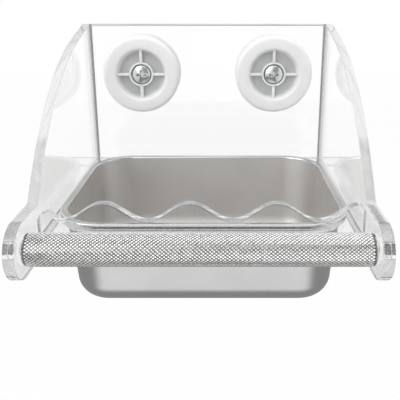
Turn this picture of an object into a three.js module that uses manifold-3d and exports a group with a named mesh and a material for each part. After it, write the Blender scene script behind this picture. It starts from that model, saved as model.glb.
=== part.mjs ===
// A cage bird feeder: clear acrylic panels, a steel tray in a shelf, a knurled perch and two cage clamps.
// Millimetres, +Z up, +X to the right, +Y towards the cage bars. The origin lies midway between the two
// clamp screws, on the rear face of the back panel, so the bird's side is at -Y.
import * as THREE from "three";
import { mergeVertices } from "three/addons/utils/BufferGeometryUtils.js";
import Module from "manifold-3d";

const wasm = await Module();
wasm.setup();

// Sheet work
const SHEET = 4;
const INNER_WIDTH = 124;
const GAP = 0.3; // between glued or seated neighbours
const PANEL_TOP = 25.4;
const SCREW_SPACING = 69.5;

// Perch and the lobes that carry it
const PERCH_Y = -120.5;
const PERCH_Z = -45.1;
const PERCH_R = 6;
const PERCH_CHAMFER = 0.8;
const LOBE_R = 10.6;
const PERCH_SCREW_R = 2;
const PERCH_SCREW_LENGTH = 16;
const PERCH_BORE_DEPTH = 13;
const SOCKET_R = 1.15;
const SOCKET_DEPTH = 2;
const CLEARANCE = 0.3; // radial, round every screw

// Swept front edge of the side panels: its foot on the arm and the two handles of its curve
const SWEEP_FOOT_Y = -103;
const SWEEP_UPPER_Y = -34.7;
const SWEEP_UPPER_Z = 17.7;
const SWEEP_LOWER_Y = -66.8;
const SWEEP_LOWER_Z = 12.7;
const ARM_CORNER_R = 2;

// Wave guard on the shelf's front edge, between tray and perch
const GUARD_THICKNESS = 4;
const GUARD_TO_PERCH = 7.5; // room for a bird's toes
const GUARD_CORNER_R = 3.5;
const WAVE_CREST = -33.4;
const WAVE_TROUGH = -40.5;
const WAVE_PERIOD = 32.6;
const WAVE_CREST_X = 28.3;

// Tray
const TRAY_WIDTH = 119;
const TRAY_LENGTH = 90;
const TRAY_HEIGHT = 39.6;
const TRAY_SHEET = 0.8;
const TRAY_CORNER_R = 20;
const TRAY_FLANGE = 2.4;
const TRAY_SKIRT = 3;
const TRAY_CURL_R = 1.2;
const TRAY_BEND_R = 1;
const TRAY_DRAFT = 2.8;
const TRAY_FLOOR_R = 9;
const TRAY_FRONT_CLEARANCE = 0.8; // from the rim to the guard
const CUT_OUT_CLEARANCE = 0.6;
const RIM_TOP = -43.3;

// Cup discs, clamp screws and wing nuts
const DISC_R = 20;
const DISC_HEIGHT = 6.5;
const DISC_EDGE_R = 2;
const RECESS_R = 12.6;
const RECESS_LIP_R = 1.6;
const DISC_FLOOR = 2.5;
const HUB_R = 6.3;
const HUB_BORE_R = 5.3;
const HUB_HEIGHT = 5;
const RIB_WIDTH = 1.5;
const CLAMP_SCREW_R = 2.5;
const CLAMP_SCREW_LENGTH = 30;
const HEAD_R = 4.9;
const HEAD_SIDE = 1.3;
const HEAD_HEIGHT = 3.2;
const CROSS_LENGTH = 5.2;
const CROSS_WIDTH = 1.1;
const CROSS_DEPTH = 1.7;
const BOSS_R = 4.8;
const BOSS_HEIGHT = 7;
const BOSS_TAPER = 0.8;
const BOSS_TAPER_HEIGHT = 2;
const WING_THICKNESS = 2.2;
const WING_REACH = 14.4;
const WING_RISE = 6.6;
const WING_ROOT_DEPTH = 1.2; // into the boss
const WING_ROOT_HEIGHT = 2.2;

// Derived places
const HALF = INNER_WIDTH / 2;
const OUTER = HALF + SHEET;
const INSET_HALF = HALF - GAP;
const PANEL_BOTTOM = PERCH_Z - LOBE_R;
const ARM_TOP = PERCH_Z + LOBE_R;
const GUARD_FRONT = PERCH_Y + PERCH_R + GUARD_TO_PERCH;
const GUARD_REAR = GUARD_FRONT + GUARD_THICKNESS;
const TRAY_FRONT = GUARD_REAR + TRAY_FRONT_CLEARANCE;
const TRAY_MIDDLE_Y = TRAY_FRONT + TRAY_LENGTH / 2;
const SHELF_TOP = RIM_TOP - TRAY_SKIRT - GAP;
const SHELF_BOTTOM = SHELF_TOP - SHEET;
const SCREW_X = SCREW_SPACING / 2;
const HEAD_SEAT = -SHEET - GAP - DISC_FLOOR - GAP;

const X = new THREE.Vector3(1, 0, 0);
const Y = new THREE.Vector3(0, 1, 0);
const Z = new THREE.Vector3(0, 0, 1);
// Drawing planes for plates: the drawing's own axes and its thickness, in the part's frame
const SIDE_VIEW = new THREE.Matrix4().makeBasis(Y, Z, X);
const FRONT_VIEW = new THREE.Matrix4().makeBasis(X, Z, Y.clone().negate());

const acrylic = { color: 0xf4f8f8, roughness: 0.05, metalness: 0, transparent: true, opacity: 0.25 };
const stainless = { color: 0xb9b8b6, roughness: 0.35, metalness: 1 };
const knurled = { color: 0xc9c9c7, roughness: 0.3, metalness: 1 };
const zinc = { color: 0xb4b6b8, roughness: 0.28, metalness: 1 };
const milky = { color: 0xf2f2f0, roughness: 0.3, metalness: 0 };

const feeder = new THREE.Group();
feeder.name = "cage_bird_feeder";

function addPiece(name, geometry, look) {
  geometry.computeVertexNormals();
  const mesh = new THREE.Mesh(geometry, new THREE.MeshStandardMaterial(look));
  mesh.name = name;
  feeder.add(mesh);
  return mesh;
}

// A closed geometry as a solid that can be cut and joined
function toSolid(geometry) {
  const bare = new THREE.BufferGeometry();
  bare.setAttribute("position", geometry.getAttribute("position"));
  bare.setIndex(geometry.index);
  const merged = mergeVertices(bare, 1e-4);
  const corners = merged.index.array;
  const kept = [];
  for (let i = 0; i < corners.length; i += 3) {
    const [a, b, c] = corners.slice(i, i + 3);
    if (a !== b && b !== c && c !== a) kept.push(a, b, c);
  }
  return new wasm.Manifold(
    new wasm.Mesh({
      numProp: 3,
      vertProperties: new Float32Array(merged.getAttribute("position").array),
      triVerts: new Uint32Array(kept),
    }),
  );
}

function toGeometry(solid) {
  const mesh = solid.getMesh();
  const geometry = new THREE.BufferGeometry();
  geometry.setAttribute("position", new THREE.BufferAttribute(mesh.vertProperties, 3));
  geometry.setIndex(new THREE.BufferAttribute(mesh.triVerts, 1));
  return geometry;
}

// Points on an ellipse's arc, angles in quarter turns from the +x side
function arc(cx, cy, rx, ry, from, to, steps) {
  const points = [];
  for (let i = 0; i <= steps; i++) {
    const a = ((from + ((to - from) * i) / steps) * Math.PI) / 2;
    points.push([cx + rx * Math.cos(a), cy + ry * Math.sin(a)]);
  }
  return points;
}

function turned(profile, segments) {
  return new THREE.LatheGeometry(
    profile.map(([r, h]) => new THREE.Vector2(r, h)),
    segments,
  );
}

function circle(x, y, r) {
  return new THREE.Path().absarc(x, y, r, 0, 2 * Math.PI, true);
}

function plate(shape, thickness, curveSegments) {
  return new THREE.ExtrudeGeometry(shape, { depth: thickness, bevelEnabled: false, curveSegments });
}

// Back panel, between the side panels
function backPanel() {
  const shape = new THREE.Shape();
  shape.moveTo(-INSET_HALF, PANEL_BOTTOM);
  shape.lineTo(INSET_HALF, PANEL_BOTTOM);
  shape.lineTo(INSET_HALF, PANEL_TOP);
  shape.lineTo(-INSET_HALF, PANEL_TOP);
  shape.closePath();
  for (const side of [-1, 1]) shape.holes.push(circle(side * SCREW_X, 0, CLAMP_SCREW_R + CLEARANCE));
  return plate(shape, SHEET, 14).applyMatrix4(FRONT_VIEW);
}

// Side panel: straight rear and bottom edges, a lobe round the perch, an arm and a swept front edge
function sidePanel() {
  const cornerY = SWEEP_FOOT_Y + ARM_CORNER_R / 2;
  const cornerZ = ARM_TOP + ARM_CORNER_R;
  const shape = new THREE.Shape();
  shape.moveTo(0, PANEL_BOTTOM);
  shape.lineTo(0, PANEL_TOP);
  shape.bezierCurveTo(SWEEP_UPPER_Y, SWEEP_UPPER_Z, SWEEP_LOWER_Y, SWEEP_LOWER_Z, cornerY, cornerZ);
  shape.quadraticCurveTo(SWEEP_FOOT_Y, ARM_TOP, SWEEP_FOOT_Y - ARM_CORNER_R, ARM_TOP);
  shape.lineTo(PERCH_Y, ARM_TOP);
  shape.absarc(PERCH_Y, PERCH_Z, LOBE_R, Math.PI / 2, (3 * Math.PI) / 2, false);
  shape.closePath();
  shape.holes.push(circle(PERCH_Y, PERCH_Z, PERCH_SCREW_R + CLEARANCE));
  return plate(shape, SHEET, 16).applyMatrix4(SIDE_VIEW);
}

// A rectangle with rounded corners, counter-clockwise, as points or as a closed path
function roundedRectangle(halfX, halfY, r, steps) {
  const points = [];
  const corners = [
    [1, 1],
    [-1, 1],
    [-1, -1],
    [1, -1],
  ];
  corners.forEach(([sx, sy], quarter) => {
    points.push(...arc(sx * (halfX - r), sy * (halfY - r), r, r, quarter, quarter + 1, steps));
  });
  return points;
}

function trayShelf() {
  const rear = -SHEET - GAP;
  const front = GUARD_FRONT;
  const shape = new THREE.Shape();
  shape.moveTo(-INSET_HALF, front);
  shape.lineTo(INSET_HALF, front);
  shape.lineTo(INSET_HALF, rear);
  shape.lineTo(-INSET_HALF, rear);
  shape.closePath();
  const inset = TRAY_FLANGE - CUT_OUT_CLEARANCE;
  const outline = roundedRectangle(
    TRAY_WIDTH / 2 - inset,
    TRAY_LENGTH / 2 - inset,
    TRAY_CORNER_R - inset,
    8,
  );
  shape.holes.push(
    new THREE.Path(outline.map(([x, y]) => new THREE.Vector2(x, y + TRAY_MIDDLE_Y)).reverse()),
  );
  return plate(shape, SHEET, 8).translate(0, 0, SHELF_BOTTOM);
}

// Wave guard: rounded top corners, and a short half wave between the last trough and the left corner
function waveGuard() {
  const steps = 80;
  const cornerX = INSET_HALF - GUARD_CORNER_R;
  const middle = (WAVE_CREST + WAVE_TROUGH) / 2;
  const swing = (WAVE_CREST - WAVE_TROUGH) / 2;
  const wholeWaves = Math.floor((WAVE_CREST_X + cornerX) / WAVE_PERIOD - 0.5);
  const lastTrough = WAVE_CREST_X - (wholeWaves + 0.5) * WAVE_PERIOD;
  const topAt = (x) => {
    if (x > lastTrough) return middle + swing * Math.cos((2 * Math.PI * (x - WAVE_CREST_X)) / WAVE_PERIOD);
    return WAVE_TROUGH + (swing * (1 - Math.cos((Math.PI * (x - lastTrough)) / (cornerX + lastTrough)))) / 2;
  };
  const r = GUARD_CORNER_R;
  const top = arc(cornerX, topAt(cornerX) - r, r, r, 0, 1, 6);
  for (let i = 1; i < steps; i++) {
    const x = cornerX * (1 - (2 * i) / steps);
    top.push([x, topAt(x)]);
  }
  top.push(...arc(-cornerX, topAt(-cornerX) - r, r, r, 1, 2, 6));
  const foot = SHELF_TOP + GAP;
  const outline = [[-INSET_HALF, foot], [INSET_HALF, foot], ...top];
  const shape = new THREE.Shape(outline.map(([x, z]) => new THREE.Vector2(x, z)));
  return plate(shape, GUARD_THICKNESS, 1).applyMatrix4(FRONT_VIEW);
}

// Drawn tray: one sheet from the floor's inside, over the rim and back to the floor's outside.
// Each step of its section is an inset from the rim's outline and a height above the tray's foot.
function foodTray() {
  const t = TRAY_SHEET;
  const wall = TRAY_FLANGE;
  const foot = wall + TRAY_DRAFT;
  const innerR = TRAY_FLOOR_R - t;
  const bend = TRAY_BEND_R;
  const top = TRAY_HEIGHT;
  const curl = TRAY_CURL_R;
  const section = [
    ...arc(foot + t + innerR, t + innerR, innerR, innerR, 3, 2, 6),
    ...arc(wall - bend, top - bend - t, bend + t, bend + t, 0, 1, 4),
    ...arc(curl, top - curl, curl, curl, 1, 2, 4),
    [0, top - TRAY_SKIRT],
    [t, top - TRAY_SKIRT],
    ...arc(curl, top - curl, curl - t, curl - t, 2, 1, 2),
    ...arc(wall - bend, top - bend - t, bend, bend, 1, 0, 3),
    ...arc(foot + TRAY_FLOOR_R, TRAY_FLOOR_R, TRAY_FLOOR_R, TRAY_FLOOR_R, 2, 3, 7),
  ];
  const perRing = 4 * 9;
  const positions = [];
  for (const [inset, height] of section) {
    const halfX = TRAY_WIDTH / 2 - inset;
    const halfY = TRAY_LENGTH / 2 - inset;
    for (const [x, y] of roundedRectangle(halfX, halfY, TRAY_CORNER_R - inset, 8)) {
      positions.push(x, y, height);
    }
  }
  const insideMiddle = positions.length / 3;
  positions.push(0, 0, t, 0, 0, 0);
  const outsideMiddle = insideMiddle + 1;
  const faces = [];
  const last = (section.length - 1) * perRing;
  for (let i = 0; i < perRing; i++) {
    const next = (i + 1) % perRing;
    faces.push(insideMiddle, i, next, outsideMiddle, last + next, last + i);
    for (let ring = 0; ring < last; ring += perRing) {
      const above = ring + perRing;
      faces.push(ring + i, above + i, above + next, ring + i, above + next, ring + next);
    }
  }
  const geometry = new THREE.BufferGeometry();
  geometry.setAttribute("position", new THREE.Float32BufferAttribute(positions, 3));
  geometry.setIndex(faces);
  return geometry;
}

function perchBar() {
  const end = INSET_HALF;
  const bore = PERCH_SCREW_R + CLEARANCE;
  const flat = PERCH_R - PERCH_CHAMFER;
  const profile = [
    [0, PERCH_BORE_DEPTH - end],
    [bore, PERCH_BORE_DEPTH - end],
    [bore, -end],
    [flat, -end],
    [PERCH_R, PERCH_CHAMFER - end],
    [PERCH_R, end - PERCH_CHAMFER],
    [flat, end],
    [bore, end],
    [bore, end - PERCH_BORE_DEPTH],
    [0, end - PERCH_BORE_DEPTH],
  ];
  return turned(profile, 40).rotateZ(-Math.PI / 2);
}

// Flush screw with a hexagon socket, its outer end at the origin and pointing along +Y
function perchScrew() {
  const edge = 0.3;
  const profile = [
    [0, -PERCH_SCREW_LENGTH],
    [PERCH_SCREW_R - edge, -PERCH_SCREW_LENGTH],
    [PERCH_SCREW_R, edge - PERCH_SCREW_LENGTH],
    [PERCH_SCREW_R, -edge],
    [PERCH_SCREW_R - edge, 0],
    [0, 0],
  ];
  const socket = new THREE.CylinderGeometry(SOCKET_R, SOCKET_R, 2 * SOCKET_DEPTH, 6);
  return toGeometry(toSolid(turned(profile, 24)).subtract(toSolid(socket)));
}

// Cup disc: flat face at the origin, cup towards +Y, with a hub round the screw head and cross ribs
function cupDisc() {
  const bore = CLAMP_SCREW_R + CLEARANCE;
  const edge = DISC_EDGE_R;
  const lip = RECESS_LIP_R;
  const dish = DISC_HEIGHT - lip - DISC_FLOOR;
  const profile = [
    [bore, 0],
    ...arc(DISC_R - edge, edge, edge, edge, -1, 0, 2),
    ...arc(DISC_R - edge, DISC_HEIGHT - edge, edge, edge, 0, 1, 3),
    ...arc(RECESS_R + lip, DISC_HEIGHT - lip, lip, lip, 1, 2, 3),
    ...arc(RECESS_R - dish, DISC_HEIGHT - lip, dish, dish, 0, -1, 3).slice(1),
    [HUB_R, DISC_FLOOR],
    [HUB_R, HUB_HEIGHT],
    [HUB_BORE_R, HUB_HEIGHT],
    [HUB_BORE_R, DISC_FLOOR],
    [bore, DISC_FLOOR],
    [bore, 0],
  ];
  let disc = toSolid(turned(profile, 32));
  const overlap = 0.4;
  const ribLength = RECESS_R - HUB_R + 2 * overlap;
  const ribHeight = HUB_HEIGHT - DISC_FLOOR + overlap;
  for (let quarter = 0; quarter < 4; quarter++) {
    const rib = new THREE.BoxGeometry(ribLength, ribHeight, RIB_WIDTH);
    rib.translate(HUB_R - overlap + ribLength / 2, HUB_HEIGHT - ribHeight / 2 - 0.1, 0);
    rib.rotateY((quarter * Math.PI) / 2);
    disc = disc.add(toSolid(rib));
  }
  return toGeometry(disc);
}

// Pan-head screw with a cross recess, the underside of its head at the origin, the head towards +Y
function clampScrew() {
  const tip = 0.5;
  const profile = [
    [0, -CLAMP_SCREW_LENGTH],
    [CLAMP_SCREW_R - tip, -CLAMP_SCREW_LENGTH],
    [CLAMP_SCREW_R, tip - CLAMP_SCREW_LENGTH],
    [CLAMP_SCREW_R, 0],
    [HEAD_R, 0],
    ...arc(0, HEAD_SIDE, HEAD_R, HEAD_HEIGHT - HEAD_SIDE, 0, 1, 5),
  ];
  let screw = toSolid(turned(profile, 28));
  for (const turn of [0, Math.PI / 2]) {
    const slot = new THREE.BoxGeometry(CROSS_LENGTH, 2 * CROSS_DEPTH, CROSS_WIDTH);
    slot.rotateY(turn).translate(0, HEAD_HEIGHT, 0);
    screw = screw.subtract(toSolid(slot));
  }
  return toGeometry(screw);
}

// Wing nut, its seat at the origin and its wings towards +Y, one above the screw and one below
function wingNut() {
  const bore = CLAMP_SCREW_R + CLEARANCE;
  const profile = [
    [bore, 0],
    [BOSS_R, 0],
    [BOSS_R, BOSS_HEIGHT - BOSS_TAPER_HEIGHT],
    [BOSS_R - BOSS_TAPER, BOSS_HEIGHT],
    [bore, BOSS_HEIGHT],
    [bore, 0],
  ];
  let nut = toSolid(turned(profile, 28));
  const root = BOSS_R - WING_ROOT_DEPTH;
  const rootTop = BOSS_HEIGHT - BOSS_TAPER / 2;
  const rootBottom = rootTop - WING_ROOT_HEIGHT;
  const out = (share) => share * WING_REACH;
  const up = (share) => BOSS_HEIGHT + share * WING_RISE;
  const wing = new THREE.Shape();
  wing.moveTo(root, rootBottom);
  wing.quadraticCurveTo(out(0.62), up(-0.24), out(0.87), up(0.33));
  wing.quadraticCurveTo(out(1), up(0.7), out(0.85), up(0.88));
  wing.quadraticCurveTo(out(0.68), up(1), out(0.58), up(0.6));
  wing.quadraticCurveTo(out(0.47), up(0.09), root, rootTop);
  wing.closePath();
  for (const turn of [Math.PI / 2, -Math.PI / 2]) {
    const blade = plate(wing, WING_THICKNESS, 6);
    blade.translate(0, 0, -WING_THICKNESS / 2).rotateY(turn);
    nut = nut.add(toSolid(blade));
  }
  return toGeometry(nut);
}

addPiece("back_panel", backPanel(), acrylic);
addPiece("left_side_panel", sidePanel(), acrylic).position.x = -OUTER;
addPiece("right_side_panel", sidePanel(), acrylic).position.x = HALF;
addPiece("tray_shelf", trayShelf(), acrylic);
addPiece("wave_guard", waveGuard(), acrylic).position.y = GUARD_REAR;
addPiece("food_tray", foodTray(), stainless).position.set(0, TRAY_MIDDLE_Y, RIM_TOP - TRAY_HEIGHT);
addPiece("perch_bar", perchBar(), knurled).position.set(0, PERCH_Y, PERCH_Z);

for (const [hand, side] of [
  ["left", -1],
  ["right", 1],
]) {
  const perchFastener = addPiece(`${hand}_perch_screw`, perchScrew(), zinc);
  perchFastener.rotation.z = (-side * Math.PI) / 2;
  perchFastener.position.set(side * OUTER, PERCH_Y, PERCH_Z);

  const clampX = side * SCREW_X;
  const frontDisc = addPiece(`${hand}_front_disc`, cupDisc(), milky);
  frontDisc.rotation.x = Math.PI;
  frontDisc.position.set(clampX, -SHEET - GAP, 0);

  const fastener = addPiece(`${hand}_clamp_screw`, clampScrew(), zinc);
  fastener.rotation.x = Math.PI;
  fastener.position.set(clampX, HEAD_SEAT, 0);

  addPiece(`${hand}_rear_disc`, cupDisc(), milky).position.set(clampX, GAP, 0);
  addPiece(`${hand}_wing_nut`, wingNut(), zinc).position.set(clampX, GAP + DISC_FLOOR + GAP, 0);
}

export default feeder;
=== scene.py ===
"""Looks of a cage bird feeder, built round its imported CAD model.

Lengths are in millimetres until a mesh is made. The bird's side is at -Y, the cage at +Y and +Z is up.
"""
import math

import bmesh
import bpy
from mathutils import Matrix, Vector
from mathutils.geometry import tessellate_polygon


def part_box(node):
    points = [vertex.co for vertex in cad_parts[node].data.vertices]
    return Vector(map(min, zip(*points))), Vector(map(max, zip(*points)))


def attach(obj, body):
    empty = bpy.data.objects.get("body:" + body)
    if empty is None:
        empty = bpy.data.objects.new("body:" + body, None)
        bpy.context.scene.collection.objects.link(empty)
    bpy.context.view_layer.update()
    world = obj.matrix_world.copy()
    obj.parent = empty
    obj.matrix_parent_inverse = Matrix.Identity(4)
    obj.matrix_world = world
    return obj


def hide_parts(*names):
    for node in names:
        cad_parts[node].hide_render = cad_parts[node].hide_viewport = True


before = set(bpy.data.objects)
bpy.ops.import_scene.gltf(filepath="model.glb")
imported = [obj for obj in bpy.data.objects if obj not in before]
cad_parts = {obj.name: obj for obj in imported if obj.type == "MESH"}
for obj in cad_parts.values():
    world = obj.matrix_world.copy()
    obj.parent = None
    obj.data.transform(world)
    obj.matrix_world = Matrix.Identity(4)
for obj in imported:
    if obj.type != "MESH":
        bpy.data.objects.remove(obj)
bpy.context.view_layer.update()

MM = 0.001
X, Y, Z = Vector((1, 0, 0)), Vector((0, 1, 0)), Vector((0, 0, 1))


# Sizes and places that the frame gives

def exact(length):
    """A length to the micrometre, as the frame's boxes have rounding errors below that."""
    return round(length, 3)


def box_of(node):
    """Lowest and highest corner of a CAD node at rest."""
    return [[exact(c / MM) for c in corner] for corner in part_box(node)]


(HALF, _, _), (OUTER, _, _) = box_of("right_side_panel")
SHEET = OUTER - HALF

(_, _, PANEL_BOTTOM), (INSET_HALF, _, PANEL_TOP) = box_of("back_panel")

(_, bar_front, bar_bottom), (_, bar_rear, bar_top) = box_of("perch_bar")
PERCH_Y = exact((bar_front + bar_rear) / 2)
PERCH_Z = exact((bar_bottom + bar_top) / 2)
PERCH_R = exact((bar_top - bar_bottom) / 2)
LOBE_R = exact(PERCH_Z - PANEL_BOTTOM)
ARM_TOP = exact(PERCH_Z + LOBE_R)

(_, GUARD_FRONT, GUARD_FOOT), (_, GUARD_REAR, _) = box_of("wave_guard")
(_, SHELF_FRONT, SHELF_BOTTOM), (_, SHELF_REAR, _) = box_of("tray_shelf")

(_, tray_front, TRAY_FOOT), (TRAY_HALF_X, tray_rear, tray_top) = box_of("food_tray")
TRAY_HALF_Y = exact((tray_rear - tray_front) / 2)
TRAY_MIDDLE_Y = exact((tray_front + tray_rear) / 2)
TRAY_HEIGHT = exact(tray_top - TRAY_FOOT)

(screw_left, _, _), (screw_right, SCREW_END_Y, _) = box_of("right_clamp_screw")
SCREW_X = exact((screw_left + screw_right) / 2)
_, (_, FRONT_DISC_Y, _) = box_of("right_front_disc")
(_, REAR_DISC_Y, _), _ = box_of("right_rear_disc")
(_, NUT_SEAT_Y, _), _ = box_of("right_wing_nut")


# Sizes that the frame's boxes don't show

CLEARANCE = 0.3  # round every screw and under the clamp screws' heads

# Acrylic sheets: bevels, and the side panels' swept front edge and its corner on the arm as (Y, Z) points
BEVEL = 0.3
BACK_BEVEL = 0.8
SWEEP_UPPER = (-34.7, 17.7)
SWEEP_LOWER = (-66.8, 12.7)
SWEEP_END = (-102, ARM_TOP + 2)
CORNER_UPPER = (-102.67, ARM_TOP + 0.67)
CORNER_LOWER = (-103.67, ARM_TOP)
ARM_START = (-105, ARM_TOP)
GUARD_CORNER_R = 3.5
WAVE_CREST = -33.4
WAVE_TROUGH = -40.5
WAVE_PERIOD = 32.6
WAVE_CREST_X = 28.3
WAVES_TO_TROUGH = 2.5  # from that crest to the last trough at the left

# Tray
TRAY_SHEET = 0.8
TRAY_CORNER_R = 20.0
TRAY_FLANGE = 2.4
TRAY_DRAFT = 2.8
TRAY_FLOOR_R = 9.0
TRAY_BEND_R = 0.15
TRAY_CURL_R = 0.9
TRAY_SKIRT = 3.0
TRAY_LIP_R = 0.1
CUT_OUT_CLEARANCE = 0.6

# Perch and its screws
KNURL_AROUND = 30
KNURL_PITCH = 1.5
KNURL_DEPTH = 0.22
KNURL_FLAT = 0.34  # share of a diamond that is its flat top
PERCH_CHAMFER = 0.3
PERCH_BORE_DEPTH = 13.0
PERCH_SCREW_R = 2.0
PERCH_SCREW_LENGTH = 16.0
PERCH_SCREW_EDGE = 0.3
SOCKET_R = 1.15
SOCKET_DEPTH = 2.0
SOCKET_MOUTH = 1.0  # height of the cutter above the screw's end

# Cup discs
DISC_R = 20.0
DISC_HEIGHT = 6.5
DISC_EDGE_R = 2.0
DISC_FLOOR = 2.5
RECESS_R = 12.6
RECESS_LIP_R = 1.6
HUB_R = 6.3
HUB_BORE_R = 5.3
HUB_HEIGHT = 5.0
HUB_EDGE_R = 0.3
HUB_FILLET_R = 0.6
RIB_WIDTH = 1.5
RIB_EDGE_R = 0.35
RIB_TOP = 4.9
RIB_INTO_HUB = 0.3
RIB_INTO_WALL = 0.4
RIB_INTO_FLOOR = 0.3

# Clamp screws
CLAMP_SCREW_R = 2.5
THREAD_PITCH = 0.8
THREAD_DEPTH = 0.42
THREAD_INTO_HEAD = 0.2
HEAD_R = 4.9
HEAD_EDGE = 0.2
HEAD_SIDE = 1.3
HEAD_HEIGHT = 3.2
CROSS_REACH = 2.8
CROSS_HALF_WIDTH = 0.7
CROSS_WEB = 1.1
CROSS_FLOOR = 1.0
CROSS_MOUTH = 3.6  # height at which the recess has its whole plan
CROSS_TAPER = 0.5

# Wing nuts
BOSS_R = 4.8
BOSS_HEIGHT = 7.0
BOSS_EDGE = 0.3
BOSS_SIDE = 4.6  # height of its straight side
BOSS_TAPER = 0.8
BOSS_ROUND_R = 0.75
BOSS_ROUND_HEIGHT = 2.2
BORE_CHAMFER = 0.4
WING_THICKNESS = 2.2
WING_EDGE_R = 0.8
WING_REACH = 14.4
WING_RISE = 6.6
WING_ROOT_DEPTH = 1.2  # into the boss
WING_ROOT_LOW = 2.6  # below the boss's top
WING_ROOT_HIGH = 0.4

CLAMP_BORE_R = CLAMP_SCREW_R + CLEARANCE
PERCH_SCREW_BORE_R = PERCH_SCREW_R + CLEARANCE
HEAD_SEAT_Y = exact(FRONT_DISC_Y - DISC_FLOOR - CLEARANCE)

# Drawings: where their own two axes and their height point in the part
UPWARD = (X, Y, Z)
SIDEWAYS = (Y, Z, X)
FORWARD = (X, Z, -Y)
BACKWARD = (X, -Z, Y)
BACKWARD_ON_END = (Z, X, Y)


# Mesh building

def arc(cx, cy, rx, ry, start, end, steps):
    """Points on an ellipse's arc, its angles in quarter turns."""
    points = []
    for i in range(steps + 1):
        a = (start + (end - start) * i / steps) * math.pi / 2
        points.append((cx + rx * math.cos(a), cy + ry * math.sin(a)))
    return points


def circle(x, y, r, steps):
    return arc(x, y, r, r, 0, 4, steps)[:-1]


def bezier(p0, p1, p2, p3, steps):
    points = []
    for i in range(steps + 1):
        t = i / steps
        s = 1 - t
        weights = (s ** 3, 3 * s * s * t, 3 * s * t * t, t ** 3)
        points.append(tuple(sum(w * p[k] for w, p in zip(weights, (p0, p1, p2, p3))) for k in (0, 1)))
    return points


def quadratic(start, handle, end, steps):
    """A curve with one handle, as a curve with two."""
    handles = [tuple(a + (b - a) * 2 / 3 for a, b in zip(p, handle)) for p in (start, end)]
    return bezier(start, *handles, end, steps)


def rounded_rectangle(half_x, half_y, r, steps):
    points = []
    for quarter, (sx, sy) in enumerate(((1, 1), (-1, 1), (-1, -1), (1, -1))):
        points += arc(sx * (half_x - r), sy * (half_y - r), r, r, quarter, quarter + 1, steps)
    return points


def wound(loop, counter_clockwise):
    area = sum(a[0] * b[1] - b[0] * a[1] for a, b in zip(loop, loop[1:] + loop[:1]))
    return loop if (area > 0) == counter_clockwise else loop[::-1]


def moved_in(loop, distance):
    """The loop moved to its left, into the sheet, with mitred corners."""
    sharpest = 0.3  # cosine that limits the mitre
    result = []
    for before, here, after in zip(loop[-1:] + loop[:-1], loop, loop[1:] + loop[:1]):
        normals = []
        for a, b in ((before, here), (here, after)):
            along = Vector((b[0] - a[0], b[1] - a[1])).normalized()
            normals.append(Vector((-along.y, along.x)))
        middle = (normals[0] + normals[1]).normalized()
        step = distance / max(middle.dot(normals[0]), sharpest)
        result.append((here[0] + middle.x * step, here[1] + middle.y * step))
    return result


def band(a, b):
    """Quads between two rings of points, given as indices."""
    return [(a[i], a[j], b[j], b[i]) for i, j in enumerate([*range(1, len(a)), 0])]


def plate(outer, holes, thickness, bevel, steps=3):
    """A sheet with rounded edges: points, faces and a mark for each face.

    The mark is 0 on the sheet's two flat faces and 1 on its edges.
    """
    loops = [wound(list(outer), True)] + [wound(list(h), False) for h in holes]
    levels = []
    for i in range(steps + 1):
        a = i / steps * math.pi / 2
        levels.append((bevel * (1 - math.sin(a)), bevel * (1 - math.cos(a))))
    levels += [(inset, thickness - height) for inset, height in reversed(levels)]
    points, faces = [], []
    lower, upper = [], []
    for loop in loops:
        rings = []
        for inset, height in levels:
            rings.append(range(len(points), len(points) + len(loop)))
            points += [(u, v, height) for u, v in (moved_in(loop, inset) if inset else loop)]
        for below, above in zip(rings, rings[1:]):
            faces += band(below, above)
        lower.append(rings[0])
        upper.append(rings[-1])
    marks = [1] * len(faces)
    for rims in (lower, upper):
        flat = [i for rim in rims for i in rim]
        for triangle in tessellate_polygon([[Vector(points[i]) for i in rim] for rim in rims]):
            faces.append(tuple(flat[k] for k in triangle))
            marks.append(0)
    return points, faces, marks


def revolved(profile, segments, closed=False):
    """A turned shape about +Z from (radius, height) points."""
    on_axis = 1e-6
    points, faces, rings = [], [], []
    for r, h in profile:
        if r < on_axis:
            rings.append([len(points)])
            points.append((0, 0, h))
        else:
            rings.append(list(range(len(points), len(points) + segments)))
            for i in range(segments):
                a = 2 * math.pi * i / segments
                points.append((r * math.cos(a), r * math.sin(a), h))
    pairs = list(zip(rings, rings[1:])) + ([(rings[-1], rings[0])] if closed else [])
    for a, b in pairs:
        for i in range(segments):
            j = (i + 1) % segments
            corners = (a[i % len(a)], a[j % len(a)], b[j % len(b)], b[i % len(b)])
            face = tuple(dict.fromkeys(corners))
            if len(face) > 2:
                faces.append(face)
    return points, faces


def joined(*shapes):
    points, faces = [], []
    for more_points, more_faces in shapes:
        first = len(points)
        points += more_points
        faces += [tuple(first + i for i in face) for face in more_faces]
    return points, faces


def placed(shape, matrix):
    points, faces = shape
    return [tuple(matrix @ Vector(p)) for p in points], faces


def axes(x, y, z, place):
    """A matrix that takes a drawing's axes to the part's axes and its origin to a place."""
    matrix = Matrix((x, y, z)).transposed().to_4x4()
    matrix.translation = place
    return matrix


def mesh_of(name, shape, sharp):
    """A smooth mesh in metres, with sharp edges where faces meet at more than an angle in degrees."""
    points, faces = shape
    mesh = bpy.data.meshes.new(name)
    mesh.from_pydata([[c * MM for c in p] for p in points], [], faces)
    work = bmesh.new()
    work.from_mesh(mesh)
    bmesh.ops.recalc_face_normals(work, faces=work.faces[:])
    work.to_mesh(mesh)
    work.free()
    mesh.shade_smooth()
    mesh.set_sharp_from_angle(angle=math.radians(sharp))
    return mesh


def linked(name, data):
    """A new object in the scene."""
    obj = bpy.data.objects.new(name, data)
    bpy.context.scene.collection.objects.link(obj)
    return obj


MACHINED = 32  # degrees that count as sharp on turned and cut metal


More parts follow.
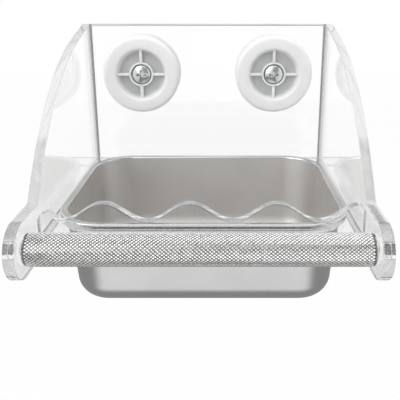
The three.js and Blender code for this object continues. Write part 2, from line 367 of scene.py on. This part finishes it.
def carved(mesh, cutter):
    """The mesh less the cutter's shape."""
    whole, tool = linked(mesh.name, mesh), linked(cutter.name, cutter)
    cut = whole.modifiers.new("cut", "BOOLEAN")
    cut.object = tool
    cut.operation = "DIFFERENCE"
    cut.solver = "EXACT"
    result = bpy.data.meshes.new_from_object(whole.evaluated_get(bpy.context.evaluated_depsgraph_get()))
    for obj in (whole, tool):
        bpy.data.objects.remove(obj)
    result.name = mesh.name
    result.set_sharp_from_angle(angle=math.radians(MACHINED))
    return result


def merged(name, first, second):
    """One mesh from two."""
    work = bmesh.new()
    work.from_mesh(first)
    work.from_mesh(second)
    result = bpy.data.meshes.new(name)
    work.to_mesh(result)
    work.free()
    result.shade_smooth()
    result.set_sharp_from_angle(angle=math.radians(MACHINED))
    return result


def show(name, mesh, node, body, slot, *looks):
    obj = linked(name, mesh)
    mesh.materials.clear()
    for look in looks:
        mesh.materials.append(look)
    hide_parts(node)
    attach(obj, body)
    return obj


# Materials

NOISE_LOW, NOISE_HIGH = 0.3, 0.7  # most of a noise lies between these
RELIEF = 0.0001  # metres of bump


class Nodes:
    """A node tree and the few nodes that the looks, the floor and the room share."""

    def __init__(self, tree):
        self.tree = tree

    def add(self, kind):
        return self.tree.nodes.new(kind)

    def link(self, source, target):
        self.tree.links.new(source, target)

    def feed(self, value, socket):
        """Sets a socket to a number, or links another socket to it."""
        if isinstance(value, (int, float)):
            socket.default_value = value
        else:
            self.link(value, socket)

    def math(self, operation, a, b=0.0):
        node = self.add("ShaderNodeMath")
        node.operation = operation
        self.feed(a, node.inputs[0])
        self.feed(b, node.inputs[1])
        return node.outputs["Value"]

    def spread(self, value, low, high, new_low, new_high, smooth=False):
        """Takes the values from low to high to a new range, and holds them there."""
        node = self.add("ShaderNodeMapRange")
        node.interpolation_type = "SMOOTHSTEP" if smooth else "LINEAR"
        for key, number in zip(("From Min", "From Max", "To Min", "To Max"), (low, high, new_low, new_high)):
            node.inputs[key].default_value = number
        self.link(value, node.inputs["Value"])
        return node.outputs["Result"]

    def parts(self, vector):
        node = self.add("ShaderNodeSeparateXYZ")
        self.link(vector, node.inputs["Vector"])
        return [node.outputs[axis] for axis in "XYZ"]

    def towards(self, place, direction, low, high):
        """1 towards a direction and 0 away from it."""
        node = self.add("ShaderNodeVectorMath")
        node.operation = "DOT_PRODUCT"
        node.inputs[1].default_value = Vector(direction).normalized()
        self.link(place, node.inputs[0])
        return self.spread(node.outputs["Value"], low, high, 0.0, 1.0, smooth=True)

    def rays(self, *kinds):
        path = self.add("ShaderNodeLightPath")
        return [path.outputs["Is %s Ray" % kind] for kind in kinds]

    def layered(self, output, base, *layers):
        """The base shader, covered by each layer on the rays that the layer names."""
        for rays, shader in layers:
            mix = self.add("ShaderNodeMixShader")
            self.link(rays, mix.inputs[0])
            self.link(base, mix.inputs[1])
            self.link(shader, mix.inputs[2])
            base = mix.outputs["Shader"]
        self.link(base, output.inputs["Surface"])


class Look(Nodes):
    """A material, which starts as a plain Principled shader."""

    def __init__(self, name):
        self.material = bpy.data.materials.new(name)
        self.material.use_nodes = True
        super().__init__(self.material.node_tree)
        self.shader = self.tree.nodes["Principled BSDF"]
        self.surface = self.shader.outputs["BSDF"]
        self.output = self.tree.nodes["Material Output"]
        self.place = self.add("ShaderNodeTexCoord").outputs["Object"]

    def set(self, **values):
        for key, value in values.items():
            self.shader.inputs[key.replace("_", " ")].default_value = value

    def noise(self, scale, detail=3.0):
        texture = self.add("ShaderNodeTexNoise")
        texture.inputs["Scale"].default_value = scale
        texture.inputs["Detail"].default_value = detail
        self.link(self.place, texture.inputs["Vector"])
        return texture.outputs["Fac"]

    def vary(self, noise, low, high):
        return self.spread(noise, NOISE_LOW, NOISE_HIGH, low, high)

    def ramp(self, value, *stops):
        node = self.add("ShaderNodeValToRGB")
        elements = node.color_ramp.elements
        while len(elements) < len(stops):
            elements.new(0.5)
        for element, (position, colour) in zip(elements, stops):
            element.position = position
            element.color = (*colour, 1)
        self.link(value, node.inputs["Fac"])
        return node.outputs["Color"]

    def tones(self, noise, dark, light):
        return self.ramp(noise, (NOISE_LOW, dark), (NOISE_HIGH, light))

    def bump(self, height, strength):
        node = self.add("ShaderNodeBump")
        node.inputs["Strength"].default_value = strength
        node.inputs["Distance"].default_value = RELIEF
        self.link(height, node.inputs["Height"])
        self.link(node.outputs["Normal"], self.shader.inputs["Normal"])

    def colour(self, value):
        self.link(value, self.shader.inputs["Base Color"])

    def roughness(self, value):
        self.link(value, self.shader.inputs["Roughness"])


def acrylic(name, rough, grain, tint=1.0, clear=1.0):
    """Clear cast sheet that lamps shine through. Its long paths, along the sheet, are a little grey."""
    look = Look(name)
    look.set(Base_Color=(tint, tint, tint, 1), IOR=1.49, Transmission_Weight=clear)
    look.roughness(look.spread(look.noise(grain, detail=5.0), 0.35, 0.75, *rough))
    (shadow,) = look.rays("Shadow")
    through = look.add("ShaderNodeBsdfTransparent")
    look.layered(look.output, look.surface, (shadow, through.outputs["BSDF"]))
    depth = look.add("ShaderNodeVolumeAbsorption")
    depth.inputs["Color"].default_value = (0.895, 0.90, 0.90, 1)
    depth.inputs["Density"].default_value = 5.0
    look.link(depth.outputs["Volume"], look.output.inputs["Volume"])
    return look.material


def metal(name, dark, light, rough, cloud=40.0, grain=2600.0, relief=0.05):
    """Bare metal between two colours and two roughnesses, by a wide noise and a fine one."""
    look = Look(name)
    fine = look.noise(grain, detail=4.0)
    look.set(Metallic=1.0)
    look.colour(look.tones(look.noise(cloud), dark, light))
    look.roughness(look.vary(fine, *rough))
    look.bump(fine, relief)
    return look.material


def knurled_metal():
    """Painted shade dark in the grooves and bright on the diamonds' tops, by the height kept at each point,
    with a fine random tone.
    """
    look = Look("knurled_metal")
    height = look.add("ShaderNodeAttribute")
    height.attribute_name = "knurl"
    grain = look.noise(900.0, detail=4.0)
    groove_shade_and_grain = look.math("ADD", height.outputs["Fac"], look.vary(grain, -0.18, 0.18))
    look.set(Metallic=1.0)
    # Painted shade: the low heights in the grooves get a dark colour, where shade would fall, and the
    # diamonds' tops stay bright.
    look.colour(look.ramp(groove_shade_and_grain, (0.1, (0.17, 0.17, 0.165)), (0.75, (0.86, 0.86, 0.85))))
    look.roughness(look.vary(grain, 0.12, 0.24))
    look.bump(grain, 0.10)
    return look.material


def milky_plastic():
    """White on the rim, the ribs and the hub, with painted shade making the cup's floor grey."""
    look = Look("milky_plastic")
    x, y, z = look.parts(look.place)
    across = look.math("SUBTRACT", look.math("ABSOLUTE", x), SCREW_X * MM)
    squares = [look.math("MULTIPLY", side, side) for side in (across, z)]
    from_screw = look.math("SQRT", look.math("ADD", *squares))
    middle = (FRONT_DISC_Y + REAR_DISC_Y) / 2
    from_middle = look.math("ABSOLUTE", look.math("SUBTRACT", y, middle * MM))
    floor = REAR_DISC_Y + DISC_FLOOR - middle
    wall_start, wall_end = RECESS_R - 1.1, RECESS_R + 0.9
    rise_start, rise_end = floor + 0.1, floor + 1.5
    unshaded_share, cloud_share = 0.75, 0.25
    wall = look.spread(from_screw, wall_start * MM, wall_end * MM, 0.0, unshaded_share)
    raised = look.spread(from_middle, rise_start * MM, rise_end * MM, 0.0, unshaded_share)
    cloud = look.vary(look.noise(120.0, detail=4.0), 0.0, cloud_share)
    grain = look.noise(1600.0)
    look.set(IOR=1.46, Subsurface_Weight=0.3, Subsurface_Scale=0.003, Subsurface_Radius=(1.0, 1.0, 0.95))
    # Painted shade: the cup's floor inside the recess, away from the ribs and the hub, is coloured grey; the
    # rest stays white, with a random cloud.
    look.colour(look.ramp(
        look.math("ADD", look.math("MAXIMUM", wall, raised), cloud),
        (0.0, (0.54, 0.55, 0.55)),
        (cloud_share, (0.62, 0.63, 0.63)),
        (unshaded_share, (0.92, 0.925, 0.925)),
        (1.0, (0.95, 0.955, 0.955)),
    ))
    look.roughness(look.vary(grain, 0.28, 0.42))
    look.bump(grain, 0.06)
    return look.material


FACE = acrylic("acrylic_face", rough=(0.0, 0.02), grain=45.0)
EDGE = acrylic("acrylic_polished_edge", rough=(0.12, 0.22), grain=500.0, tint=0.97)
LOBE = acrylic("acrylic_rounded_edge", rough=(0.06, 0.10), grain=200.0)
JOINT = acrylic("acrylic_cemented_edge", rough=(0.25, 0.5), grain=500.0, tint=0.42, clear=0.5)
SATIN = metal("steel_satin_inside", (0.65, 0.635, 0.62), (0.71, 0.695, 0.68), rough=(0.44, 0.56))
ROLLED = metal("steel_rolled_rim", (0.62, 0.625, 0.625), (0.68, 0.685, 0.685), rough=(0.08, 0.15))
DRAWN = metal("steel_drawn_outside", (0.60, 0.605, 0.60), (0.66, 0.665, 0.66), rough=(0.17, 0.25))
DARK_STEEL = metal("steel_dark_screw", (0.22, 0.22, 0.225), (0.30, 0.30, 0.305), rough=(0.10, 0.20))
ZINC = metal(
    "bright_zinc",
    (0.58, 0.595, 0.605),
    (0.72, 0.735, 0.745),
    rough=(0.14, 0.30),
    cloud=140.0,
    grain=700.0,
    relief=0.10,
)
KNURLED = knurled_metal()
MILKY = milky_plastic()


# Acrylic sheets

FACE_MARK, EDGE_MARK, JOINT_MARK, LOBE_MARK = range(4)


def show_sheet(node, outer, holes, thickness, matrix, bevel=BEVEL):
    points, faces, marks = plate(outer, holes, thickness, bevel)
    mesh = mesh_of(node + "_sheet", placed((points, faces), matrix), sharp=60)
    flat = {key for face, mark in zip(mesh.polygons, marks) if mark == FACE_MARK for key in face.edge_keys}
    for edge in mesh.edges:
        edge.use_edge_sharp = edge.use_edge_sharp or edge.key in flat
    show(node + "_sheet", mesh, node, "frame", "clear_acrylic", FACE, EDGE, JOINT, LOBE)
    mesh.polygons.foreach_set("material_index", marks)
    mesh.update()
    return mesh


def refinish(mesh, mark, chosen):
    """Gives the edge faces whose centres are chosen another finish."""
    for face in mesh.polygons:
        if face.material_index == EDGE_MARK and chosen(face.center / MM):
            face.material_index = mark


def rectangle(half, front, rear):
    return [(-half, front), (half, front), (half, rear), (-half, rear)]


back_outline = rectangle(INSET_HALF, PANEL_BOTTOM, PANEL_TOP)
screw_holes = [circle(side * SCREW_X, 0, CLAMP_BORE_R, 40) for side in (-1, 1)]
back = show_sheet("back_panel", back_outline, screw_holes, SHEET, axes(*FORWARD, (0, 0, 0)), BACK_BEVEL)
refinish(back, JOINT_MARK, lambda centre: abs(centre.x) > INSET_HALF - BACK_BEVEL)

side_outline = [(0.0, PANEL_BOTTOM)]
side_outline += bezier((0, PANEL_TOP), SWEEP_UPPER, SWEEP_LOWER, SWEEP_END, 60)
side_outline += bezier(SWEEP_END, CORNER_UPPER, CORNER_LOWER, ARM_START, 8)[1:]
side_outline += arc(PERCH_Y, PERCH_Z, LOBE_R, LOBE_R, 1, 3, 48)
perch_hole = circle(PERCH_Y, PERCH_Z, PERCH_SCREW_BORE_R, 40)
for node, left in (("left_side_panel", -OUTER), ("right_side_panel", HALF)):
    panel = show_sheet(node, side_outline, [perch_hole], SHEET, axes(*SIDEWAYS, (left, 0, 0)))
    refinish(panel, LOBE_MARK, lambda centre: centre.y < PERCH_Y + PERCH_R / 2)

shelf_outline = rectangle(INSET_HALF, SHELF_FRONT, SHELF_REAR)
inset = TRAY_FLANGE - CUT_OUT_CLEARANCE
cut_out = rounded_rectangle(TRAY_HALF_X - inset, TRAY_HALF_Y - inset, TRAY_CORNER_R - inset, 20)
cut_out = [(x, y + TRAY_MIDDLE_Y) for x, y in cut_out]
show_sheet("tray_shelf", shelf_outline, [cut_out], SHEET, axes(*UPWARD, (0, 0, SHELF_BOTTOM)))


def guard_top(x):
    """The guard's wavy edge, with a short half wave between its last trough and its left corner."""
    swing = (WAVE_CREST - WAVE_TROUGH) / 2
    trough = WAVE_CREST_X - WAVES_TO_TROUGH * WAVE_PERIOD
    if x > trough:
        return WAVE_TROUGH + swing * (1 + math.cos(2 * math.pi * (x - WAVE_CREST_X) / WAVE_PERIOD))
    corner = INSET_HALF - GUARD_CORNER_R
    return WAVE_TROUGH + swing * (1 - math.cos(math.pi * (x - trough) / (corner + trough))) / 2


def guard_outline():
    steps, r = 180, GUARD_CORNER_R
    corner = INSET_HALF - r
    points = [(-INSET_HALF, GUARD_FOOT), (INSET_HALF, GUARD_FOOT)]
    points += arc(corner, guard_top(corner) - r, r, r, 0, 1, 12)
    for step in range(1, steps):
        x = corner * (1 - 2 * step / steps)
        points.append((x, guard_top(x)))
    points += arc(-corner, guard_top(-corner) - r, r, r, 1, 2, 12)
    return points


show_sheet("wave_guard", guard_outline(), [], GUARD_REAR - GUARD_FRONT, axes(*FORWARD, (0, GUARD_REAR, 0)))


# Drawn steel tray

def tray_shape():
    """One sheet from the floor's inside over the rim to the floor's outside, and each face's finish."""
    t, top = TRAY_SHEET, TRAY_HEIGHT
    wall, foot = TRAY_FLANGE, TRAY_FLANGE + TRAY_DRAFT
    floor_r, bend, curl, lip = TRAY_FLOOR_R, TRAY_BEND_R, TRAY_CURL_R, TRAY_LIP_R
    inside = arc(foot + floor_r, floor_r, floor_r - t, floor_r - t, 3, 2, 14)
    rim = arc(wall - bend, top - bend - t, bend + t, bend + t, 0, 1, 10)
    rim += arc(curl, top - curl, curl, curl, 1, 2, 10)
    rim += arc(t / 2, top - TRAY_SKIRT + lip, t / 2, lip, 2, 4, 6)
    rim += arc(curl, top - curl, curl - t, curl - t, 2, 1, 6)
    rim += arc(wall - bend, top - bend - t, bend, bend, 1, 0, 8)
    outside = arc(foot + floor_r, floor_r, floor_r, floor_r, 2, 3, 16)
    satin, rolled, drawn = range(3)
    finishes = [satin] * len(inside) + [rolled] * (len(rim) - 1) + [drawn] * len(outside)
    points, rings = [], []
    for inset, height in inside + rim + outside:
        ring = rounded_rectangle(TRAY_HALF_X - inset, TRAY_HALF_Y - inset, TRAY_CORNER_R - inset, 18)
        rings.append(range(len(points), len(points) + len(ring)))
        points += [(x, y, height) for x, y in ring]
    faces, marks = [], []
    for below, above, finish in zip(rings, rings[1:], finishes):
        faces += band(below, above)
        marks += [finish] * len(below)
    return points, faces + [tuple(rings[0]), tuple(rings[-1])], marks + [satin, drawn]


tray_points, tray_faces, tray_finishes = tray_shape()
tray = placed((tray_points, tray_faces), Matrix.Translation((0, TRAY_MIDDLE_Y, TRAY_FOOT)))
tray_mesh = mesh_of("food_tray_shell", tray, sharp=40)
show("food_tray_shell", tray_mesh, "food_tray", "tray", "stainless_tray", SATIN, ROLLED, DRAWN)
tray_mesh.polygons.foreach_set("material_index", tray_finishes)
tray_mesh.update()


# Perch

def knurled_bar():
    """Blunt pyramids between helical grooves, with turned and bored ends, and each point's height."""
    groove_r = PERCH_R - KNURL_DEPTH
    half_pitch = KNURL_PITCH / 2
    half_rows = int((INSET_HALF - PERCH_CHAMFER) / half_pitch)
    last = 2 * half_rows
    # Heights kept at each point, which the knurled metal turns into painted shade in the grooves.
    in_groove, on_top, turned = 0.0, 1.0, 0.6
    points, faces, heights = [], [], []

    def add(r, turn, x, height):
        a = 2 * math.pi * turn / KNURL_AROUND
        points.append((x, r * math.cos(a), r * math.sin(a)))
        heights.append(height)
        return len(points) - 1

    spots = {}
    for row in range(last + 1):
        for m in range(KNURL_AROUND):
            spots[row, m] = add(groove_r, m + row % 2 / 2, (row - half_rows) * half_pitch, in_groove)
    across, along = KNURL_FLAT / 2, KNURL_FLAT * half_pitch
    for row in range(last - 1):
        for m in range(KNURL_AROUND):
            turn, x = m + row % 2 / 2, (row + 1 - half_rows) * half_pitch
            left = (m - 1 + row % 2) % KNURL_AROUND
            right = (m + row % 2) % KNURL_AROUND
            foot = (spots[row, m], spots[row + 1, right], spots[row + 2, m], spots[row + 1, left])
            top = (
                add(PERCH_R, turn, x - along, on_top),
                add(PERCH_R, turn + across, x, on_top),
                add(PERCH_R, turn, x + along, on_top),
                add(PERCH_R, turn - across, x, on_top),
            )
            faces.append(top)
            faces.extend(band(foot, top))
    end_profile = [
        (groove_r, INSET_HALF - PERCH_CHAMFER),
        (groove_r - PERCH_CHAMFER, INSET_HALF),
        (PERCH_SCREW_BORE_R, INSET_HALF),
        (PERCH_SCREW_BORE_R, INSET_HALF - PERCH_BORE_DEPTH),
    ]
    for side, end, inward in ((-1, 0, 1), (1, last, last - 1)):
        rim = [spots[end, m] for m in range(KNURL_AROUND)]
        for m in range(KNURL_AROUND):
            faces.append((rim[m], rim[(m + 1) % KNURL_AROUND], spots[inward, m]))
        for r, x in end_profile:
            ring = [add(r, m, side * x, turned) for m in range(KNURL_AROUND)]
            faces.extend(band(rim, ring))
            rim = ring
        faces.append(tuple(rim))
    return points, faces, heights


bar_points, bar_faces, bar_heights = knurled_bar()
bar = placed((bar_points, bar_faces), Matrix.Translation((0, PERCH_Y, PERCH_Z)))
bar_mesh = mesh_of("perch_bar_knurled", bar, sharp=12)
bar_mesh.attributes.new("knurl", "FLOAT", "POINT").data.foreach_set("value", bar_heights)
show("perch_bar_knurled", bar_mesh, "perch_bar", "frame", "knurled_metal", KNURLED)


# Fasteners and discs, drawn with their seats at the origin and rising along +Z

def thread(r, depth, pitch, start, end):
    """A threaded rod between two heights, closed at both ends."""
    segments, rows_a_turn = 28, 6
    rows = int((end - start) / pitch * rows_a_turn)
    points, rings = [], []
    for row in range(rows + 1):
        rings.append(range(len(points), len(points) + segments))
        h = start + (end - start) * row / rows
        ease = min(1.0, (end - h) / pitch, (h - start) / pitch)
        for i in range(segments):
            share = (h / pitch - i / segments) % 1.0
            valley = depth * abs(2 * share - 1)
            radius = r - depth + (depth - valley) * ease
            a = 2 * math.pi * i / segments
            points.append((radius * math.cos(a), radius * math.sin(a), h))
    faces = [face for below, above in zip(rings, rings[1:]) for face in band(below, above)]
    return points, faces + [tuple(rings[0]), tuple(rings[-1])]


def prism(outline, low, high, taper=1.0):
    """A cutter whose lower outline is the upper one times taper."""
    count = len(outline)
    points = [(x * taper, y * taper, low) for x, y in outline] + [(x, y, high) for x, y in outline]
    below, above = range(count), range(count, 2 * count)
    return points, [tuple(below), tuple(above), *band(below, above)]


def cross_outline(reach, width, web):
    """Plan of a cross recess, with the webs between its arms cut back."""
    quarter = [(reach, -width), (reach, width), (web, width), (width, web)]
    points = []
    for turn in range(4):
        c, s = round(math.cos(turn * math.pi / 2)), round(math.sin(turn * math.pi / 2))
        points += [(c * x - s * y, s * x + c * y) for x, y in quarter]
    return list(dict.fromkeys(points))


def pan_head():
    profile = [(0.0, 0.0), (HEAD_R - HEAD_EDGE, 0.0), (HEAD_R, HEAD_EDGE)]
    profile += arc(0, HEAD_SIDE, HEAD_R, HEAD_HEIGHT - HEAD_SIDE, 0, 1, 14)
    head = mesh_of("pan_head", revolved(profile, 56), MACHINED)
    plan = cross_outline(CROSS_REACH, CROSS_HALF_WIDTH, CROSS_WEB)
    cross = prism(plan, CROSS_FLOOR, CROSS_MOUTH, CROSS_TAPER)
    return carved(head, mesh_of("cross_recess", cross, MACHINED))


def cup_disc():
    """A cup with a hub round the screw's head, and four ribs from the hub to the wall."""
    edge, lip, fillet, round_r = DISC_EDGE_R, RECESS_LIP_R, HUB_FILLET_R, HUB_EDGE_R
    dish = DISC_HEIGHT - lip - DISC_FLOOR
    profile = [(CLAMP_BORE_R, 0.0)]
    profile += arc(DISC_R - edge, edge, edge, edge, -1, 0, 8)
    profile += arc(DISC_R - edge, DISC_HEIGHT - edge, edge, edge, 0, 1, 10)
    profile += arc(RECESS_R + lip, DISC_HEIGHT - lip, lip, lip, 1, 2, 10)
    profile += arc(RECESS_R - dish, DISC_HEIGHT - lip, dish, dish, 0, -1, 12)[1:]
    profile += arc(HUB_R + fillet, DISC_FLOOR + fillet, fillet, fillet, 3, 2, 5)
    profile += arc(HUB_R - round_r, HUB_HEIGHT - round_r, round_r, round_r, 0, 1, 4)
    profile += arc(HUB_BORE_R + round_r, HUB_HEIGHT - round_r, round_r, round_r, 1, 2, 4)
    profile += [(HUB_BORE_R, DISC_FLOOR), (CLAMP_BORE_R, DISC_FLOOR)]
    shapes = [revolved(profile, 96, closed=True)]
    start, end, foot = HUB_R - RIB_INTO_HUB, RECESS_R + RIB_INTO_WALL, DISC_FLOOR - RIB_INTO_FLOOR
    half = RIB_WIDTH / 2
    outline = [(start, -half), (end, -half), (end, half), (start, half)]
    rib_points, rib_faces, _ = plate(outline, [], RIB_TOP - foot, RIB_EDGE_R)
    for turn in range(4):
        place = Matrix.Rotation(turn * math.pi / 2, 4, "Z") @ Matrix.Translation((0, 0, foot))
        shapes.append(placed((rib_points, rib_faces), place))
    return joined(*shapes)


def wing_nut():
    bore, flare = CLAMP_BORE_R, CLAMP_BORE_R + BORE_CHAMFER
    shoulder = BOSS_HEIGHT - BOSS_ROUND_HEIGHT
    profile = [(flare, 0.0), (BOSS_R - BOSS_EDGE, 0.0), (BOSS_R, BOSS_EDGE), (BOSS_R, BOSS_SIDE)]
    profile += arc(BOSS_R - BOSS_TAPER, shoulder, BOSS_ROUND_R, BOSS_ROUND_HEIGHT, 0.1, 1, 8)
    profile += [(flare, BOSS_HEIGHT), (bore, BOSS_HEIGHT - BORE_CHAMFER), (bore, BORE_CHAMFER)]
    shapes = [revolved(profile, 56, closed=True)]

    def spot(out, up):
        """A place on the wing, in shares of its reach and of its rise above the boss."""
        return out * WING_REACH, BOSS_HEIGHT + up * WING_RISE

    root = BOSS_R - WING_ROOT_DEPTH
    low, high = (root, BOSS_HEIGHT - WING_ROOT_LOW), (root, BOSS_HEIGHT - WING_ROOT_HIGH)
    outline = quadratic(low, spot(0.62, -0.24), spot(0.87, 0.33), 10)[:-1]
    outline += quadratic(spot(0.87, 0.33), spot(1, 0.7), spot(0.85, 0.88), 10)[:-1]
    outline += quadratic(spot(0.85, 0.88), spot(0.68, 1), spot(0.58, 0.6), 10)[:-1]
    outline += quadratic(spot(0.58, 0.6), spot(0.47, 0.09), high, 10)
    wing_points, wing_faces, _ = plate(outline, [], WING_THICKNESS, WING_EDGE_R, 4)
    for side in (1, -1):
        place = axes(side * X, Z, -side * Y, (0, side * WING_THICKNESS / 2, 0))
        shapes.append(placed((wing_points, wing_faces), place))
    return joined(*shapes)


def socket_screw(side):
    """A perch screw in its place, flush with the outside of a side panel."""
    r, edge, length = PERCH_SCREW_R, PERCH_SCREW_EDGE, PERCH_SCREW_LENGTH
    profile = [(0.0, -length), (r - edge, -length), (r, edge - length)]
    profile += [(r, -edge), (r - edge, 0.0), (0.0, 0.0)]
    screw = mesh_of("socket_screw", revolved(profile, 40), MACHINED)
    hexagon = prism(circle(0, 0, SOCKET_R, 6), -SOCKET_DEPTH, SOCKET_MOUTH)
    mesh = carved(screw, mesh_of("hexagon_socket", hexagon, MACHINED))
    mesh.transform(axes(-side * Z, Y, side * X, (side * OUTER * MM, PERCH_Y * MM, PERCH_Z * MM)))
    return mesh


for hand, side in (("left", -1), ("right", 1)):
    at = side * SCREW_X

    disc = placed(cup_disc(), axes(*FORWARD, (at, FRONT_DISC_Y, 0)))
    name = hand + "_front_disc"
    show(name + "_cup", mesh_of(name + "_cup", disc, sharp=45), name, "frame", "milky_plastic", MILKY)

    disc = placed(cup_disc(), axes(*BACKWARD, (at, REAR_DISC_Y, 0)))
    name = hand + "_rear_disc"
    show(name + "_cup", mesh_of(name + "_cup", disc, sharp=45), name, hand + "_disc", "milky_plastic", MILKY)

    head = pan_head()
    head.transform(axes(*FORWARD, (at * MM, HEAD_SEAT_Y * MM, 0)))
    tip = exact(HEAD_SEAT_Y - SCREW_END_Y)
    rod = thread(CLAMP_SCREW_R, THREAD_DEPTH, THREAD_PITCH, tip, THREAD_INTO_HEAD)
    rod = placed(rod, axes(*FORWARD, (at, HEAD_SEAT_Y, 0)))
    name = hand + "_clamp_screw"
    mesh = merged(name + "_turned", head, mesh_of("rod", rod, sharp=40))
    show(name + "_turned", mesh, name, "frame", "zinc_steel", ZINC)

    nut = placed(wing_nut(), axes(*BACKWARD_ON_END, (at, NUT_SEAT_Y, 0)))
    name = hand + "_wing_nut"
    show(name + "_cast", mesh_of(name + "_cast", nut, sharp=40), name, hand + "_nut", "zinc_steel", ZINC)

    name = hand + "_perch_screw"
    show(name + "_turned", socket_screw(side), name, "frame", "zinc_steel", DARK_STEEL)


# Floor, light and camera, in metres and watts

# Rays that floor and room tell apart: from the camera, off metal, through the sheets and off their faces
BACKGROUND_RAYS = ("Camera", "Glossy", "Transmission", "Singular")


def make_floor():
    """A white floor. Metal sees it white in front of the feeder, greyer beside and under it, pale far off."""
    half, height = 40.0, -0.26
    corners = [(sx * half, sy * half, height) for sx, sy in ((-1, -1), (1, -1), (1, 1), (-1, 1))]
    mesh = bpy.data.meshes.new("floor")
    mesh.from_pydata(corners, [], [(0, 1, 2, 3)])
    floor = linked("floor", mesh)
    look = Look("white_floor")
    look.set(Roughness=0.9)
    look.colour(look.tones(look.noise(3.0), (0.84, 0.84, 0.84), (0.86, 0.86, 0.86)))
    x, y, _ = look.parts(look.place)
    ahead = look.spread(y, -0.32, -0.16, 1.0, 0.0, smooth=True)
    near = look.spread(look.math("ABSOLUTE", x), 0.14, 0.34, 1.0, 0.0, smooth=True)
    away = look.add("ShaderNodeVectorMath")
    away.operation = "LENGTH"
    look.link(look.place, away.inputs[0])
    far = look.spread(away.outputs["Value"], 0.50, 1.0, 0.0, 0.75, smooth=True)
    bright = look.math("MAXIMUM", look.math("MULTIPLY", ahead, near), far)
    grey = look.add("ShaderNodeEmission")
    look.link(look.spread(bright, 0.0, 1.0, 0.34, 1.0), grey.inputs["Strength"])
    white = look.add("ShaderNodeEmission")
    camera, metallic, through, mirrored = look.rays(*BACKGROUND_RAYS)
    seen = look.math("MAXIMUM", look.math("MAXIMUM", camera, through), mirrored)
    share = look.math("MULTIPLY", seen, look.spread(away.outputs["Value"], 0.5, 2.5, 0.94, 1.0, smooth=True))
    layers = (metallic, grey.outputs["Emission"]), (share, white.outputs["Emission"])
    look.layered(look.output, look.surface, *layers)
    mesh.materials.append(look.material)


def make_world():
    """An even soft room. Metal sees it bright at the left and the rear right, and the camera sees white."""
    world = bpy.data.worlds.new("studio")
    world.use_nodes = True
    bpy.context.scene.world = world
    room = Nodes(world.node_tree)
    room.tree.nodes.remove(room.tree.nodes["Background"])

    def light(strength):
        node = room.add("ShaderNodeBackground")
        node.inputs["Color"].default_value = (1, 1, 1, 1)
        room.feed(strength, node.inputs["Strength"])
        return node.outputs["Background"]

    place = room.add("ShaderNodeTexCoord").outputs["Generated"]
    left = room.towards(place, (-0.9, -0.35, 0.1), 0.2, 0.5)
    right = room.towards(place, (0.8, 0.6, 0.1), 0.5, 0.75)
    rear = room.towards(place, (-0.2, 0.85, 0.5), 0.70, 0.92)
    walls = room.spread(room.math("MAXIMUM", left, right), 0.0, 1.0, 0.38, 0.95, smooth=True)
    behind = room.spread(rear, 0.0, 1.0, 1.0, 0.74, smooth=True)
    camera, metallic, through, mirrored = room.rays(*BACKGROUND_RAYS)
    seen = room.math("MAXIMUM", camera, mirrored)
    layers = (metallic, light(walls)), (seen, light(1.0)), (through, light(behind))
    room.layered(room.tree.nodes["World Output"], light(0.60), *layers)


def softbox(name, place, side, power):
    """A soft lamp. Rays through clear sheet pass it by, so that the sheets' edges don't clip to white."""
    target = (0, -0.06, -0.03)
    light = bpy.data.lights.new(name, "AREA")
    light.size = side
    light.energy = power
    obj = linked(name, light)
    obj.location = place
    obj.rotation_euler = (Vector(target) - Vector(place)).to_track_quat("-Z", "Y").to_euler()
    obj.visible_transmission = False


def make_camera():
    """The photograph's camera, fitted to the corners of the panels, the discs, the tray and the perch."""
    data = bpy.data.cameras.new("photo_camera")
    data.sensor_width = 36.0
    data.lens = 49.5
    data.shift_x = -0.0571
    data.shift_y = -0.125
    data.clip_start = 0.01
    camera = linked("photo_camera", data)
    downward = 16.458
    camera.location = (0.00802, -0.29703, 0.04375)
    camera.rotation_euler = (math.radians(90 - downward), 0, 0)
    bpy.context.scene.camera = camera


make_floor()
make_world()
softbox("key", place=(-0.90, -0.90, 0.70), side=1.6, power=10.0)
softbox("top", place=(0.05, 0.05, 1.20), side=1.6, power=8.0)
softbox("fill", place=(1.10, -0.50, 0.35), side=1.0, power=1.8)
make_camera()

# Light runs a long way inside clear sheets before it leaves through an edge
paths = bpy.context.scene.cycles
paths.max_bounces = 96
paths.glossy_bounces = 96
paths.transmission_bounces = 96
paths.transparent_max_bounces = 24

bpy.context.scene.view_settings.view_transform = "Standard"
